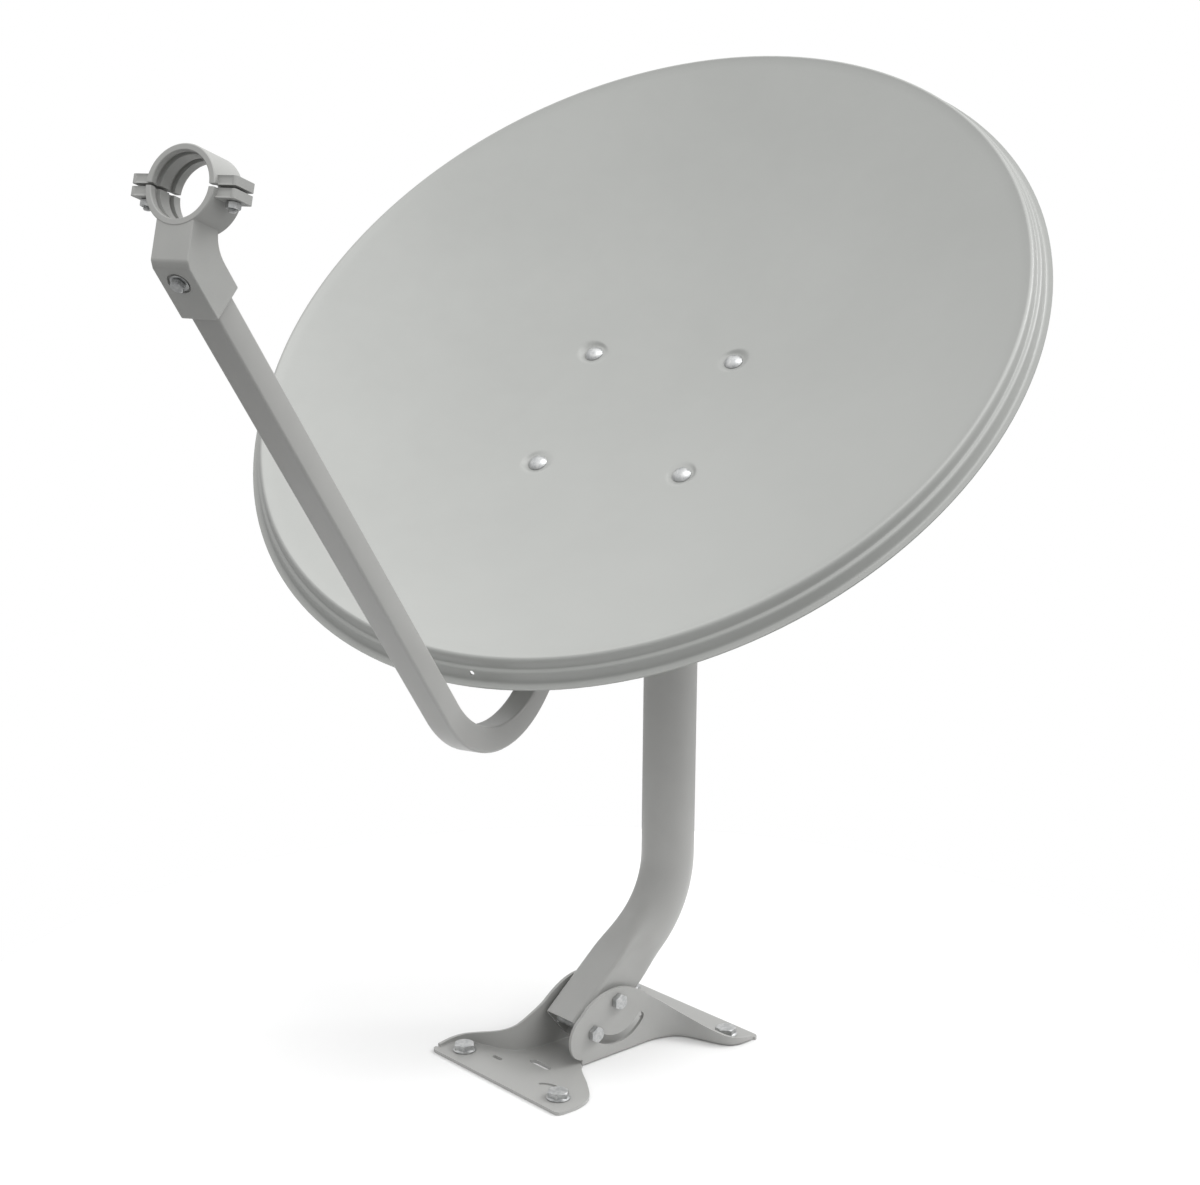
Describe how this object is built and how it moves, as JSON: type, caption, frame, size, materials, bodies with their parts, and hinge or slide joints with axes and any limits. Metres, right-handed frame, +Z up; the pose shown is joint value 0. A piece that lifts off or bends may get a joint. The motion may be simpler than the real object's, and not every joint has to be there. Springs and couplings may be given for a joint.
{
  "type": "satellite dish",
  "caption": "Offset parabolic satellite dish with a stepped rim, bent square feed arm and open receiver clamp, on a bent pipe mast with a stamped tilting foot.",
  "frame": {"origin": "middle of the foot's underside, straight below the tilt bolt", "axes": "+Z up along the upper mast, -Y the side that the reflector faces, +X to the right seen from the front"},
  "size_m": [0.6799, 0.9306, 0.8808],
  "materials": {
    "reflector_paint": "satin",
    "grey_paint": "satin",
    "zinc": "dull zinc plating",
    "grey_plastic": "matte moulded",
    "dark_plastic": "matte moulded"
  },
  "bodies": {
    "foot": {"foot": "grey_paint", "tilt_pivot_bolt": "zinc", "tilt_pivot_nut": "zinc", "anchor_bolt_1": "zinc", "anchor_bolt_2": "zinc", "anchor_bolt_3": "zinc", "anchor_bolt_4": "zinc"},
    "mast": {"mast": "grey_paint", "mast_cap": "dark_plastic", "tilt_lock_bolt": "zinc", "tilt_lock_nut": "zinc"},
    "pole_mount": {"pole_bracket": "grey_paint", "u_bolt_upper": "zinc", "u_bolt_lower": "zinc", "u_nut_upper_left": "zinc", "u_nut_upper_right": "zinc", "u_nut_lower_left": "zinc", "u_nut_lower_right": "zinc", "elevation_pivot_bolt": "zinc", "elevation_pivot_nut": "zinc", "elevation_lock_bolt": "zinc", "elevation_lock_nut": "zinc"},
    "dish": {"reflector": "reflector_paint", "face_bolt_1": "zinc", "face_bolt_2": "zinc", "face_bolt_3": "zinc", "face_bolt_4": "zinc", "face_nut_1": "zinc", "face_nut_2": "zinc", "face_nut_3": "zinc", "face_nut_4": "zinc", "cradle": "grey_paint", "feed_arm": "grey_paint", "arm_bolt_upper": "zinc", "arm_bolt_lower": "zinc", "arm_nut_upper": "zinc", "arm_nut_lower": "zinc", "arm_plug": "dark_plastic", "feed_holder": "grey_plastic", "feed_cap": "grey_plastic", "clamp_screw_left": "zinc", "clamp_screw_right": "zinc", "clamp_nut_left": "zinc", "clamp_nut_right": "zinc", "holder_screw": "zinc", "holder_washer": "zinc"}
  },
  "joints": [
    {"name": "mast_tilt", "type": "hinge", "parent": "foot", "child": "mast", "pos_m": [0, 0, 0.05152], "axis": [0.9265, -0.3762, 0], "range_deg": [0, 100]},
    {"name": "azimuth", "type": "hinge", "parent": "mast", "child": "pole_mount", "pos_m": [0.03236, 0.07968, 0.5], "axis": [0, 0, 1], "continuous": true},
    {"name": "elevation", "type": "hinge", "parent": "pole_mount", "child": "dish", "pos_m": [0.03236, 0.03763, 0.548], "axis": [-1, 0, 0], "range_deg": [-48, 7]}
  ]
}
